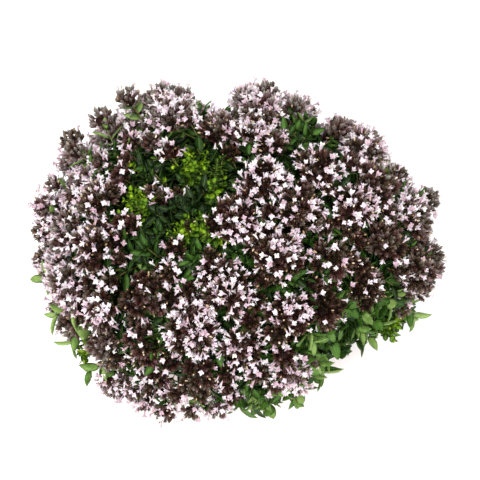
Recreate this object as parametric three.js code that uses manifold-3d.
// A compact oregano plant in full bloom, growing in a plain clay pot.
//
// Millimetres, +Z up. The origin is the middle of the pot's underside, and the plant stands
// centred over it. Square stems rise out of the soil in a fountain, carry their leaves in
// crossed pairs, and end in a loose panicle: a few stalks, each with a dense head of pointed
// burgundy spikelets and open four-lobed florets. Together the heads make one wide low mound.

import * as THREE from 'three';
import { mergeVertices } from 'three/addons/utils/BufferGeometryUtils.js';
import Module from 'manifold-3d';

const wasm = await Module();
wasm.setup();

// ------------------------------------------------------------------ driving dimensions

const CLEARANCE = 0.3; // between solids that touch
const MERGE_DISTANCE = 1e-4; // corners nearer than this are one corner

// Clay pot
const POT_HEIGHT = 120;
const POT_BASE_RADIUS = 50;
const POT_BODY_RADIUS = 68; // where the body meets the rim band
const POT_RIM_RADIUS = 75;
const POT_RIM_BAND = 26;
const POT_WALL = 6;
const POT_FLOOR = 7;
const POT_ROUNDING = 2;
const POT_SIDES = 24;
const DRAIN_RADIUS = 7;

// Soil
const SOIL_TOP = 106;
const SOIL_CROWN = 4; // how much higher the soil is in the middle
const STEM_ROOT_DEPTH = 14;
const HOLE_OVER_SOIL = 2; // how far the tool that cuts a stem's hole stands out of the soil

// Mound: an ellipsoid's upper part with bays in its outline and one dip on top
const MOUND_CENTRE = new THREE.Vector3(1, 3, 138);
const MOUND_HALF_WIDTH = 150;
const MOUND_HALF_DEPTH = 128;
const MOUND_RISE = 116;
const LOWEST_HEAD_TILT = 101; // degrees from straight up
const LOWEST_STEM_TILT = 92;
const EVENING_ROUNDS = 40; // of pushing neighbours apart, each by a share of what they lack
const EVENING_PUSH = 0.3;
const BAYS = [
  // turn seen from above, share of the radius taken away, half width; degrees
  { turn: 96, depth: 0.16, half: 15 },
  { turn: 312, depth: 0.2, half: 34 },
  { turn: 50, depth: 0.1, half: 30 },
  { turn: 125, depth: -0.05, half: 25 },
  { turn: 275, depth: 0.05, half: 14 },
];
const DIP = { x: -42, y: 4, halfWidth: 50, halfDepth: 40, depth: 24 };

// Flowering stems
const STEM_COUNT = 24;
const STEM_SIDE = 2.4;
const STEM_STEPS = 6;
const STEM_STRAIGHT = 22; // from its foot, before it bends outwards
const STEM_KNEE_RISE = 14; // of the bend's middle over the halfway height
const ROOT_SPREAD = 46;
const ROOT_SPREAD_POWER = 0.8; // under 1, stems that lean little stand further out
const STEM_ROOM = 74; // distance that the stems' ends push each other to
const PANICLE_DEPTH = 34; // from the mound's surface down to the stem's end

// Panicles and flower heads
const HEAD_COUNT = 82;
const HEAD_LARGEST = 21;
const HEAD_ROOM = 42; // distance that the heads push each other to
const HEAD_UNEVENNESS = 12; // how far some stand out of the mound or lie deeper
const HEAD_LIFT = 0.3; // how much of straight up goes into the way that a head faces
const HEAD_GAP = 0.8;
const HEAD_SHARE = 0.82; // least share of the largest radius that a head grows to
const HEAD_UNDERSIDE = 0.7; // reach below a head's middle, of its radius
const CORE_SHARE = 0.7; // the core's radius, of the head's
const HEAD_FLATNESS = 0.8;
const SPIKELET_SHARE = 0.82; // least length of a spikelet, of the head's radius
const SPIKELET_LOWEST = -0.4; // height of the lowest spikelets on a core of radius 1
const FACE_DOWN = -0.99; // height under which a face of that core looks straight down
const PANICLE_AXIS_LENGTH = 12;
const PANICLE_AXIS_RADIUS = 1.6;
const PANICLE_AXIS_TAPER = 0.8;
const STALK_RADIUS = 1.2;
const STALK_TAPER = 0.7; // radius at a stalk's foot, of its radius under the head
const STALK_LOWEST = 0.25; // place of the lowest stalk's foot, of the axis's length
const STALK_SPAN = 0.65; // of the axis that carries stalks
const FLORET_RADIUS = 6;
const FLORET_SHARE = 0.34; // most, of the head's radius
const FLORET_LOBES = 4;
const FLORET_NOTCH = 0.42; // radius between two lobes, of the lobes' radius
const FLORET_THROAT = 0.7; // height of the narrow throat, of the mouth's height
const FLORET_THROAT_RADIUS = 1.2;
const FLORET_EYE_DEPTH = 0.8; // of the middle of the mouth under its lobes
const FLORET_APART = 60; // degrees, least angle between two florets of a head
const FLORET_LOWEST = 0.3; // height of the lowest florets on a core of radius 1
const FEWEST_FLORETS = 0.4; // rounded, so that a few heads have none
const MOST_FLORETS = 3;

// Leaves
const LEAF_LENGTH = 30;
const LEAF_WIDTH_SHARE = 0.6;
const LEAF_THICKNESS = 1.2;
const LEAF_FOLD = 0.16; // rise of the edges over the rib, of the width
const LEAF_DROOP = 0.18; // fall of the tip, of the length
const LEAF_BELLY = 0.06; // by how much its edge points are further out, of the length
const LEAF_BELLY_POWER = 0.8;
const LEAF_SHOULDER = 0.6; // share of the length past which the blade is narrower
const LEAF_SHOULDER_WIDTH = 0.8; // width there, of the greatest width
const LEAF_VARIATION = 0.1; // of the length, longer or shorter
const LEAF_PAIRS = [5, 18, 37]; // distances from the stem's end
const LEAF_SPREAD = [50, 66, 80]; // degrees from the stem, for each pair
const LEAF_TRIES = [3, 24, -21, 45, -42, 66, -63, 87]; // turns tried until a leaf is clear, degrees
const LEAF_SIZES = [1, 0.86, 0.74, 0.62]; // shares of its length tried until a leaf is clear
const LEAF_ROOM = 1; // by how much a leaf is nearer to its own stem than to any other
const STALK_ROOM = 1.6; // between a leaf and a stalk or the pot
const HEAD_ROOM_SHARE = 1.1; // least distance of a leaf from a head's middle, of the head's radius

// Leafy shoots without flowers: where each ends on the mound, and the size of its leaves
const SHOOTS = [
  { tilt: 21, turn: 135, sink: 12, leaf: 18, pairs: 4 },
  { tilt: 33, turn: 179, sink: 10, leaf: 17, pairs: 4 },
  { tilt: 21, turn: 225, sink: 10, leaf: 17, pairs: 4 },
  { tilt: 68, turn: 34, sink: 4, leaf: 18, pairs: 4 },
  { tilt: 96, turn: 330, sink: -2, leaf: 20, pairs: 5 },
  { tilt: 99, turn: 216, sink: -2, leaf: 15, pairs: 5 },
];
const SHOOT_SIDE = 2;
const SHOOT_ROOM = 11; // radius that a shoot's end keeps clear of flower heads
const SHOOT_SPACING = 8; // from pair to pair
const SHOOT_TOP_PAIR = 0.5; // distance of the top pair from the shoot's end
const SHOOT_TOP_LEAF = 0.7; // size of the top pair, of the shoot's full leaves
const SHOOT_LEAF_GROWTH = 0.15; // added to that by each lower pair
const SHOOT_SPREAD = 44; // degrees from the shoot, for the top pair
const SHOOT_OPENING = 7; // added to that by each lower pair

// ------------------------------------------------------------------ materials

const clay = new THREE.MeshStandardMaterial({ color: '#b5623f', roughness: 0.9, metalness: 0 });
const earth = new THREE.MeshStandardMaterial({ color: '#2e221a', roughness: 1, metalness: 0 });
const leafGreen = new THREE.MeshStandardMaterial({ color: '#36501f', roughness: 0.6, metalness: 0 });
const shootGreen = new THREE.MeshStandardMaterial({ color: '#84a832', roughness: 0.6, metalness: 0 });
const burgundy = new THREE.MeshStandardMaterial({ color: '#6d4347', roughness: 0.75, metalness: 0 });

// ------------------------------------------------------------------ small tools

const UP = new THREE.Vector3(0, 0, 1);
const GOLDEN_TURN = Math.PI * (3 - Math.sqrt(5));
const radians = THREE.MathUtils.degToRad;

// What a draw decides. Each has a number of its own, so that no two follow each other.
const SINK = 3;
const HEAD_SIZE = 4;
const LEAF_SIZE = 5;
const SPIKELET_SIZE = 6;
const FLORET_COUNT = 7;
const FLORET_ORDER = 8;

// An even draw between 0 and 1 that depends only on its two numbers.
function draw(index, what) {
  const value = Math.sin(index * 12.9898 + what * 78.233) * 43758.5453;
  return value - Math.floor(value);
}

function toSolid(geometry) {
  const bare = geometry.clone();
  bare.deleteAttribute('normal');
  bare.deleteAttribute('uv');
  const merged = mergeVertices(bare, MERGE_DISTANCE);
  return new wasm.Manifold(new wasm.Mesh({
    numProp: 3,
    vertProperties: Float32Array.from(merged.attributes.position.array),
    triVerts: Uint32Array.from(merged.index.array),
  }));
}

function toGeometry(solid) {
  const mesh = solid.getMesh();
  const geometry = new THREE.BufferGeometry();
  geometry.setAttribute('position', new THREE.BufferAttribute(mesh.vertProperties, 3));
  geometry.setIndex(new THREE.BufferAttribute(mesh.triVerts, 1));
  geometry.computeVertexNormals();
  return geometry;
}

function fuse(geometries) {
  return geometries.map(toSolid).reduce((whole, piece) => whole.add(piece));
}

// Moves every point of a geometry by a rule on its place.
function reshape(geometry, rule) {
  const places = geometry.attributes.position;
  const point = new THREE.Vector3();
  for (let i = 0; i < places.count; i += 1) {
    point.fromBufferAttribute(places, i);
    const { x, y, z } = rule(point);
    places.setXYZ(i, x, y, z);
  }
  return geometry;
}

// A frame whose Z runs along `forward` and whose X leans towards `side`.
function frameAlong(origin, forward, side) {
  const z = forward.clone().normalize();
  const y = new THREE.Vector3().crossVectors(z, side).normalize();
  const x = new THREE.Vector3().crossVectors(y, z);
  return new THREE.Matrix4().makeBasis(x, y, z).setPosition(origin);
}

// Any direction square to `axis`, the same one for the same axis.
function sideOf(axis) {
  const start = Math.abs(axis.z) < 0.9 ? UP : new THREE.Vector3(1, 0, 0);
  return new THREE.Vector3().crossVectors(start, axis).normalize();
}

// A straight stick with few sides that tapers to its far end.
function stick(from, to, radius, taper, sides) {
  const along = new THREE.Vector3().subVectors(to, from);
  const length = along.length();
  const geometry = new THREE.CylinderGeometry(radius * taper, radius, length, sides, 1);
  geometry.rotateX(Math.PI / 2).translate(0, 0, length / 2);
  return geometry.applyMatrix4(frameAlong(from, along, sideOf(along.clone().normalize())));
}

function distanceToSegment(point, from, to) {
  const along = new THREE.Vector3().subVectors(to, from);
  const away = new THREE.Vector3().subVectors(point, from);
  const share = THREE.MathUtils.clamp(away.dot(along) / along.lengthSq(), 0, 1);
  return away.addScaledVector(along, -share).length();
}

// ------------------------------------------------------------------ the mound's surface

// The mound's reach in one direction, of an even mound's.
function reachAt(turn) {
  let reach = 1;
  for (const bay of BAYS) {
    const past = turn - radians(bay.turn) + Math.PI;
    const off = THREE.MathUtils.euclideanModulo(past, 2 * Math.PI) - Math.PI;
    const share = Math.abs(off) / radians(bay.half);
    if (share < 1) reach -= bay.depth * Math.cos((share * Math.PI) / 2) ** 2;
  }
  return reach;
}

const MOUND_HALF = new THREE.Vector3(MOUND_HALF_WIDTH, MOUND_HALF_DEPTH, MOUND_RISE);

// The mound without its dip, at a tilt from straight up and a turn round it.
function moundPoint(tilt, turn) {
  const flat = Math.sin(tilt) * reachAt(turn);
  const share = new THREE.Vector3(flat * Math.cos(turn), flat * Math.sin(turn), Math.cos(tilt));
  return share.multiply(MOUND_HALF).add(MOUND_CENTRE);
}

// The tilt and turn of the mound's place nearest to a point.
function placeOnMound(point) {
  const share = point.clone().sub(MOUND_CENTRE).divide(MOUND_HALF);
  const turn = Math.atan2(share.y, share.x);
  return { tilt: Math.atan2(Math.hypot(share.x, share.y) / reachAt(turn), share.z), turn };
}

// A place on the mound with its outward direction, moved inwards by `sink`.
function onMound(tilt, turn, sink = 0) {
  const point = moundPoint(tilt, turn);
  const across = new THREE.Vector3().setFromSphericalCoords(1, tilt, turn);
  const outward = new THREE.Vector3(across.z, across.x, across.y).divide(MOUND_HALF).normalize();
  if (point.z > MOUND_CENTRE.z) {
    const dx = (point.x - DIP.x) / DIP.halfWidth;
    const dy = (point.y - DIP.y) / DIP.halfDepth;
    point.z -= DIP.depth * Math.exp(-dx * dx - dy * dy);
  }
  return { point: point.addScaledVector(outward, -sink), outward };
}

// `count` places spread evenly over the mound down to a tilt, as seeds are in a sunflower.
function spreadOverMound(count, lowestTilt) {
  const lowest = Math.cos(radians(lowestTilt));
  return Array.from({ length: count }, (_, i) => ({
    tilt: Math.acos(1 - ((i + 0.5) / count) * (1 - lowest)),
    turn: i * GOLDEN_TURN,
  }));
}

// Pushes places on the mound away from each other, and from fixed points, to equal room.
function evenOut(places, fixed, room, lowestTilt) {
  for (let round = 0; round < EVENING_ROUNDS; round += 1) {
    const points = [...places.map(({ tilt, turn }) => moundPoint(tilt, turn)), ...fixed];
    places.forEach((place, i) => {
      const push = new THREE.Vector3();
      points.forEach((other, j) => {
        const away = points[i].clone().sub(other);
        const least = j < places.length ? room : room / 2 + SHOOT_ROOM;
        if (j !== i && away.length() < least) push.addScaledVector(away, least / away.length() - 1);
      });
      Object.assign(place, placeOnMound(points[i].clone().addScaledVector(push, EVENING_PUSH)));
      place.tilt = Math.min(place.tilt, radians(lowestTilt));
    });
  }
}

// ------------------------------------------------------------------ where everything grows

// A stem's line: straight up out of the soil, then one bend outwards to its end.
function stemLine(end, tilt, turn) {
  const spread = ROOT_SPREAD * Math.sin(Math.min(tilt, Math.PI / 2)) ** ROOT_SPREAD_POWER;
  const foot = new THREE.Vector3(spread * Math.cos(turn), spread * Math.sin(turn));
  foot.setZ(SOIL_TOP - STEM_ROOT_DEPTH);
  const bend = foot.clone().setZ(foot.z + STEM_STRAIGHT);
  const knee = bend.clone().setZ((bend.z + end.z) / 2 + STEM_KNEE_RISE);
  const line = new THREE.CurvePath();
  line.add(new THREE.LineCurve3(foot, bend));
  line.add(new THREE.QuadraticBezierCurve3(bend, knee, end));
  return line;
}

function growStem(name, tilt, turn, sink) {
  const end = onMound(tilt, turn, sink).point;
  const line = stemLine(end, tilt, turn);
  return {
    name,
    line,
    end,
    surface: onMound(tilt, turn).point,
    joints: line.getSpacedPoints(STEM_STEPS),
    heads: [],
  };
}

const pad = (number) => String(number).padStart(2, '0');

const shoots = SHOOTS.map((shoot, i) => ({
  ...growStem(`shoot_${pad(i + 1)}`, radians(shoot.tilt), radians(shoot.turn), shoot.sink),
  ...shoot,
}));

const shootEnds = shoots.map((shoot) => moundPoint(radians(shoot.tilt), radians(shoot.turn)));

const stemPlaces = spreadOverMound(STEM_COUNT, LOWEST_STEM_TILT);
evenOut(stemPlaces, shootEnds, STEM_ROOM, LOWEST_STEM_TILT);
const stems = stemPlaces.map(({ tilt, turn }, i) => (
  growStem(`stem_${pad(i + 1)}`, tilt, turn, PANICLE_DEPTH)
));

function placeHeads() {
  const places = spreadOverMound(HEAD_COUNT, LOWEST_HEAD_TILT);
  evenOut(places, shootEnds, HEAD_ROOM, LOWEST_HEAD_TILT);
  const heads = places.map(({ tilt, turn }, i) => {
    const { point, outward } = onMound(tilt, turn, (draw(i, SINK) - 0.5) * HEAD_UNEVENNESS);
    return { index: i, centre: point, facing: outward.addScaledVector(UP, HEAD_LIFT).normalize() };
  });
  for (const head of heads) {
    const others = heads.filter((other) => other !== head);
    const nearest = Math.min(...others.map((other) => other.centre.distanceTo(head.centre)));
    const grown = HEAD_LARGEST * (HEAD_SHARE + (1 - HEAD_SHARE) * draw(head.index, HEAD_SIZE));
    head.radius = Math.min(grown, (nearest - HEAD_GAP) / 2);
  }
  return heads;
}

// Each head belongs to the stem whose place on the surface is nearest.
for (const head of placeHeads()) {
  const nearest = stems.reduce((best, stem) => (
    stem.surface.distanceTo(head.centre) < best.surface.distanceTo(head.centre) ? stem : best
  ));
  nearest.heads.push(head);
}

// The stalks leave the panicle's axis one above another, the outermost head's stalk lowest.
for (const stem of stems) {
  const along = stem.line.getTangentAt(1);
  stem.axisFoot = stem.end.clone().addScaledVector(along, CLEARANCE);
  stem.axisTop = stem.axisFoot.clone().addScaledVector(along, PANICLE_AXIS_LENGTH);
  stem.heads.sort((a, b) => b.centre.distanceTo(stem.surface) - a.centre.distanceTo(stem.surface));
  stem.heads.forEach((head, i) => {
    const up = STALK_LOWEST + (STALK_SPAN * (i + 0.5)) / stem.heads.length;
    const underside = head.radius * CORE_SHARE * HEAD_FLATNESS;
    head.stalkFoot = stem.axisFoot.clone().lerp(stem.axisTop, up);
    head.stalkTop = head.centre.clone().addScaledVector(head.facing, -underside);
  });
}

// ------------------------------------------------------------------ leaves

// A leaf is a six-sided lens: base, tip and two points on each edge round a thick middle,
// folded up along its rib and drooping to its tip. It starts at the origin and runs along X.
function leafBlade(length) {
  const halfWidth = (length * LEAF_WIDTH_SHARE) / 2;
  return reshape(new THREE.SphereGeometry(1, 6, 2), ({ x, y, z }) => {
    const share = ((x + 1) / 2) ** LEAF_BELLY_POWER;
    const edge = z / Math.sin(Math.PI / 3);
    const width = halfWidth * (share > LEAF_SHOULDER ? LEAF_SHOULDER_WIDTH : 1);
    const fold = Math.abs(edge) * width * 2 * LEAF_FOLD;
    return {
      x: length * (LEAF_BELLY * Math.sin(share * Math.PI) + share),
      y: -edge * width,
      z: (y * LEAF_THICKNESS) / 2 + fold - LEAF_DROOP * length * share ** 2,
    };
  });
}

// The blade's frame for a leaf that leaves a stem at `from`, turned round it and spread from it.
function leafFrame(from, along, face, turn, spread) {
  const side = face.clone().addScaledVector(along, -face.dot(along)).normalize();
  side.applyAxisAngle(along, turn);
  const forward = along.clone().multiplyScalar(Math.cos(spread)).addScaledVector(side, Math.sin(spread));
  const upper = along.clone().multiplyScalar(Math.sin(spread)).addScaledVector(side, -Math.cos(spread));
  const across = new THREE.Vector3().crossVectors(upper, forward);
  return new THREE.Matrix4().makeBasis(forward, across, upper).setPosition(from);
}

// Points all over a blade: each of its triangles is divided in three along every side.
function samples(blade) {
  const { position } = blade.toNonIndexed().attributes;
  const steps = [0, 1, 2, 3];
  const thirds = steps.flatMap((u) => steps.map((v) => [u, v, 3 - u - v]));
  const points = [];
  for (let i = 0; i < position.count; i += 3) {
    const [a, b, c] = [0, 1, 2].map((k) => new THREE.Vector3().fromBufferAttribute(position, i + k));
    for (const [u, v, w] of thirds.filter((counts) => counts[2] >= 0)) {
      points.push(a.clone().multiplyScalar(u / 3).addScaledVector(b, v / 3).addScaledVector(c, w / 3));
    }
  }
  return points;
}

function hitsPot(point) {
  const overPot = Math.hypot(point.x, point.y) < POT_RIM_RADIUS + STALK_ROOM;
  return overPot && point.z < POT_HEIGHT + STALK_ROOM;
}

function hitsPanicle(point, stem) {
  const fromAxis = distanceToSegment(point, stem.end, stem.axisTop);
  return fromAxis < PANICLE_AXIS_RADIUS + STALK_ROOM || stem.heads.some((head) => {
    const fromStalk = distanceToSegment(point, head.stalkFoot, head.stalkTop);
    return fromStalk < STALK_RADIUS + STALK_ROOM || headDistance(point, head) < HEAD_ROOM_SHARE;
  });
}

// Whether a leaf keeps to its own stem's room: every point of it is nearer to its own stem than
// to any other, over the pot's rim, and clear of all stalks and flower heads.
function leafIsClear(blade, owner) {
  const others = [...stems, ...shoots].filter((stem) => stem !== owner);
  return samples(blade).every((point) => {
    const own = distanceToLine(point, owner.joints);
    return !hitsPot(point)
      && others.every((stem) => distanceToLine(point, stem.joints) >= own + LEAF_ROOM)
      && !stems.some((stem) => hitsPanicle(point, stem));
  });
}

function distanceToLine(point, joints) {
  let nearest = Infinity;
  for (let i = 1; i < joints.length; i += 1) {
    nearest = Math.min(nearest, distanceToSegment(point, joints[i - 1], joints[i]));
  }
  return nearest;
}

// How far a point is from a head's middle, with 1 at the head's flattened outer surface.
function headDistance(point, head) {
  const away = new THREE.Vector3().subVectors(point, head.centre);
  const height = away.dot(head.facing);
  const flat = Math.sqrt(Math.max(0, away.lengthSq() - height * height));
  const reach = head.radius * (height > 0 ? 1 : HEAD_UNDERSIDE);
  return Math.hypot(flat / head.radius, height / reach);
}

// A place on a stem at a distance from its end, with the stem's direction and the outward
// direction of one of its four flat sides.
function placeAlong(line, fromEnd) {
  const share = 1 - fromEnd / line.getLength();
  const { normals } = line.computeFrenetFrames(STEM_STEPS);
  return {
    point: line.getPointAt(share),
    along: line.getTangentAt(share),
    face: normals[Math.round(share * STEM_STEPS)],
  };
}

// The first clear turn of a leaf about its stem, or nothing where none is clear.
function leafAt(owner, fromEnd, turn, spread, length) {
  const { point, along, face } = placeAlong(owner.line, fromEnd);
  for (const size of LEAF_SIZES) {
    for (const more of LEAF_TRIES) {
      const frame = leafFrame(point, along, face, turn + radians(more), radians(spread));
      const blade = leafBlade(length * size).applyMatrix4(frame);
      if (leafIsClear(blade, owner)) return [blade];
    }
  }
  return [];
}

function stemRod(line, side) {
  const half = side / 2;
  const section = new THREE.Shape([
    new THREE.Vector2(-half, -half),
    new THREE.Vector2(half, -half),
    new THREE.Vector2(half, half),
    new THREE.Vector2(-half, half),
  ]);
  return new THREE.ExtrudeGeometry(section, { steps: STEM_STEPS, bevelEnabled: false, extrudePath: line });
}

function leafyStem(stem, index) {
  const blades = LEAF_PAIRS.flatMap((fromEnd, pair) => [0, 1].flatMap((half) => {
    const turn = (pair * Math.PI) / 2 + half * Math.PI;
    const more = LEAF_VARIATION * (2 * draw(index * 8 + pair * 2 + half, LEAF_SIZE) - 1);
    const length = LEAF_LENGTH * (1 + more);
    return leafAt(stem, fromEnd, turn, LEAF_SPREAD[pair], length);
  }));
  return fuse([stemRod(stem.line, STEM_SIDE), ...blades]);
}

function leafyShoot(shoot) {
  const blades = Array.from({ length: shoot.pairs }, (_, pair) => [0, 1].flatMap((half) => {
    const fromEnd = SHOOT_TOP_PAIR + pair * SHOOT_SPACING;
    const turn = (pair * Math.PI) / 2 + half * Math.PI;
    const spread = SHOOT_SPREAD + pair * SHOOT_OPENING;
    const share = Math.min(1, SHOOT_TOP_LEAF + pair * SHOOT_LEAF_GROWTH);
    return leafAt(shoot, fromEnd, turn, spread, shoot.leaf * share);
  })).flat();
  return fuse([stemRod(shoot.line, SHOOT_SIDE), ...blades]);
}

// ------------------------------------------------------------------ flower heads

// Corners of the triangles between two rings of points that start at the same side.
function bridge(lower, upper) {
  const corners = [];
  let i = 0;
  let j = 0;
  while (i < lower.length || j < upper.length) {
    const [low, high] = [lower[i % lower.length], upper[j % upper.length]];
    if ((i + 1) / lower.length <= (j + 1) / upper.length) {
      i += 1;
      corners.push(low, lower[i % lower.length], high);
    } else {
      j += 1;
      corners.push(upper[j % upper.length], high, low);
    }
  }
  return corners;
}

// A ring of points round an axis, the first one towards `start`.
function ring(centre, axis, start, radii) {
  const x = start.clone().addScaledVector(axis, -start.dot(axis)).normalize();
  return radii.map((radius, i) => (
    x.clone().applyAxisAngle(axis, (i * 2 * Math.PI) / radii.length).multiplyScalar(radius).add(centre)
  ));
}

// Triangles from each side of a ring to one point.
function close(points, tip) {
  return points.flatMap((point, i) => [point, points[(i + 1) % points.length], tip]);
}

// A floret on one face of the core: a narrow throat that opens into a mouth of four lobes.
function floretOn(face, outward, radius, height) {
  const lobes = Array.from({ length: FLORET_LOBES * 2 }, (_, i) => radius * (i % 2 ? FLORET_NOTCH : 1));
  const throatRadii = face.map(() => FLORET_THROAT_RADIUS);
  const at = (distance) => outward.clone().multiplyScalar(distance);
  const throat = ring(at(height * FLORET_THROAT), outward, face[0], throatRadii);
  const mouth = ring(at(height), outward, face[0], lobes);
  const eye = at(height - FLORET_EYE_DEPTH);
  return [...bridge(face, throat), ...bridge(throat, mouth), ...close(mouth, eye)];
}

// The stalk under a head: from the middle of the core's lowest face down to `foot`.
function stalkOn(face, foot) {
  const middle = new THREE.Vector3().add(face[0]).add(face[1]).add(face[2]).divideScalar(3);
  const neck = face.map((corner) => corner.clone().sub(middle).setLength(STALK_RADIUS));
  const top = neck.map((point) => point.clone().add(middle));
  const bottom = neck.map((point) => point.clone().multiplyScalar(STALK_TAPER).add(foot));
  return [...bridge(face, top), ...bridge(top, bottom), ...bottom];
}

// The flat faces of a closed shape, each with the direction of its middle.
function facesOf(geometry) {
  const { position } = geometry.attributes;
  return Array.from({ length: position.count / 3 }, (_, i) => {
    const face = [0, 1, 2].map((k) => new THREE.Vector3().fromBufferAttribute(position, i * 3 + k));
    const outward = new THREE.Vector3().add(face[0]).add(face[1]).add(face[2]).normalize();
    return { face, outward };
  });
}

// The core: twenty flat faces, one of them straight down, flattened towards the stalk.
function coreFaces(head) {
  const core = new THREE.IcosahedronGeometry(head.radius * CORE_SHARE, 0);
  const [first] = facesOf(core);
  const faceDown = new THREE.Quaternion().setFromUnitVectors(first.outward, UP.clone().negate());
  core.applyQuaternion(faceDown).rotateZ(head.index * GOLDEN_TURN).scale(1, 1, HEAD_FLATNESS);
  return facesOf(core);
}

// Which faces carry a floret: upper ones in a drawn order, kept well apart.
function floretFaces(head, faces) {
  const more = (MOST_FLORETS - FEWEST_FLORETS) * draw(head.index, FLORET_COUNT);
  const wanted = Math.round(FEWEST_FLORETS + more);
  const rank = (i) => draw(head.index * faces.length + i, FLORET_ORDER);
  const upper = faces.map((_, i) => i).filter((i) => faces[i].outward.z > FLORET_LOWEST);
  const chosen = [];
  for (const i of upper.sort((a, b) => rank(a) - rank(b))) {
    const apart = chosen.every((k) => faces[k].outward.angleTo(faces[i].outward) > radians(FLORET_APART));
    if (apart && chosen.length < wanted) chosen.push(i);
  }
  return chosen;
}

// A dense head with its stalk: a core with a pointed spikelet or an open floret on each face.
function flowerHead(head) {
  const place = frameAlong(head.centre, head.facing, sideOf(head.facing));
  const foot = head.stalkFoot.clone().applyMatrix4(place.clone().invert());
  const faces = coreFaces(head);
  const florets = floretFaces(head, faces);
  const radius = Math.min(FLORET_RADIUS, head.radius * FLORET_SHARE);
  const height = Math.sqrt(head.radius ** 2 - radius ** 2) - HEAD_GAP / 2;
  const corners = faces.flatMap(({ face, outward }, i) => {
    if (outward.z < FACE_DOWN) return stalkOn(face, foot);
    if (florets.includes(i)) return floretOn(face, outward, radius, height);
    if (outward.z < SPIKELET_LOWEST) return face;
    const size = draw(head.index * faces.length + i, SPIKELET_SIZE);
    const length = head.radius * (SPIKELET_SHARE + (1 - SPIKELET_SHARE) * size);
    const tip = new THREE.Vector3(length, length, length * HEAD_FLATNESS).multiply(outward);
    return close(face, tip);
  });
  return new THREE.BufferGeometry().setFromPoints(corners).applyMatrix4(place);
}

// The panicle over a stem's end: a short axis, and the heads on their stalks.
function panicle(stem) {
  const axis = stick(stem.axisFoot, stem.axisTop, PANICLE_AXIS_RADIUS, PANICLE_AXIS_TAPER, 4);
  return fuse([axis, ...stem.heads.map(flowerHead)]);
}

// ------------------------------------------------------------------ pot and soil

function potInside(z) {
  const low = POT_BASE_RADIUS - POT_WALL;
  const high = POT_RIM_RADIUS - POT_WALL;
  return low + ((high - low) * (z - POT_FLOOR)) / (POT_HEIGHT - POT_FLOOR);
}

function lathe(profile) {
  const points = profile.map(([radius, z]) => new THREE.Vector2(radius, z));
  return new THREE.LatheGeometry(points, POT_SIDES).rotateX(Math.PI / 2);
}

function clayPot() {
  const bandFoot = POT_HEIGHT - POT_RIM_BAND;
  return toSolid(lathe([
    [DRAIN_RADIUS, 0],
    [POT_BASE_RADIUS - POT_ROUNDING, 0],
    [POT_BASE_RADIUS, POT_ROUNDING],
    [POT_BODY_RADIUS, bandFoot],
    [POT_RIM_RADIUS - POT_ROUNDING, bandFoot],
    [POT_RIM_RADIUS, bandFoot + POT_ROUNDING],
    [POT_RIM_RADIUS, POT_HEIGHT - POT_ROUNDING],
    [POT_RIM_RADIUS - POT_ROUNDING, POT_HEIGHT],
    [potInside(POT_HEIGHT), POT_HEIGHT],
    [potInside(POT_FLOOR), POT_FLOOR],
    [DRAIN_RADIUS, POT_FLOOR],
    [DRAIN_RADIUS, 0],
  ]));
}

function soilWithHoles() {
  const bottom = POT_FLOOR + CLEARANCE;
  const whole = toSolid(lathe([
    [0, bottom],
    [potInside(bottom) - CLEARANCE, bottom],
    [potInside(SOIL_TOP) - CLEARANCE, SOIL_TOP],
    [0, SOIL_TOP + SOIL_CROWN],
  ]));
  return [...stems, ...shoots].reduce((soil, stem) => {
    const foot = stem.joints[0];
    const deep = STEM_ROOT_DEPTH + SOIL_CROWN + HOLE_OVER_SOIL;
    const wide = STEM_SIDE + 2 * CLEARANCE;
    const hole = new THREE.BoxGeometry(wide, wide, deep);
    hole.translate(foot.x, foot.y, foot.z - CLEARANCE + deep / 2);
    return soil.subtract(toSolid(hole));
  }, whole);
}

// ------------------------------------------------------------------ the whole plant

const plant = new THREE.Group();

function addPart(name, solid, material) {
  const mesh = new THREE.Mesh(toGeometry(solid), material);
  mesh.name = name;
  plant.add(mesh);
}

addPart('pot', clayPot(), clay);
addPart('soil', soilWithHoles(), earth);
stems.forEach((stem, i) => {
  addPart(stem.name, leafyStem(stem, i), leafGreen);
  addPart(stem.name.replace('stem', 'flowers'), panicle(stem), burgundy);
});
shoots.forEach((shoot) => addPart(shoot.name, leafyShoot(shoot), shootGreen));

export default plant;
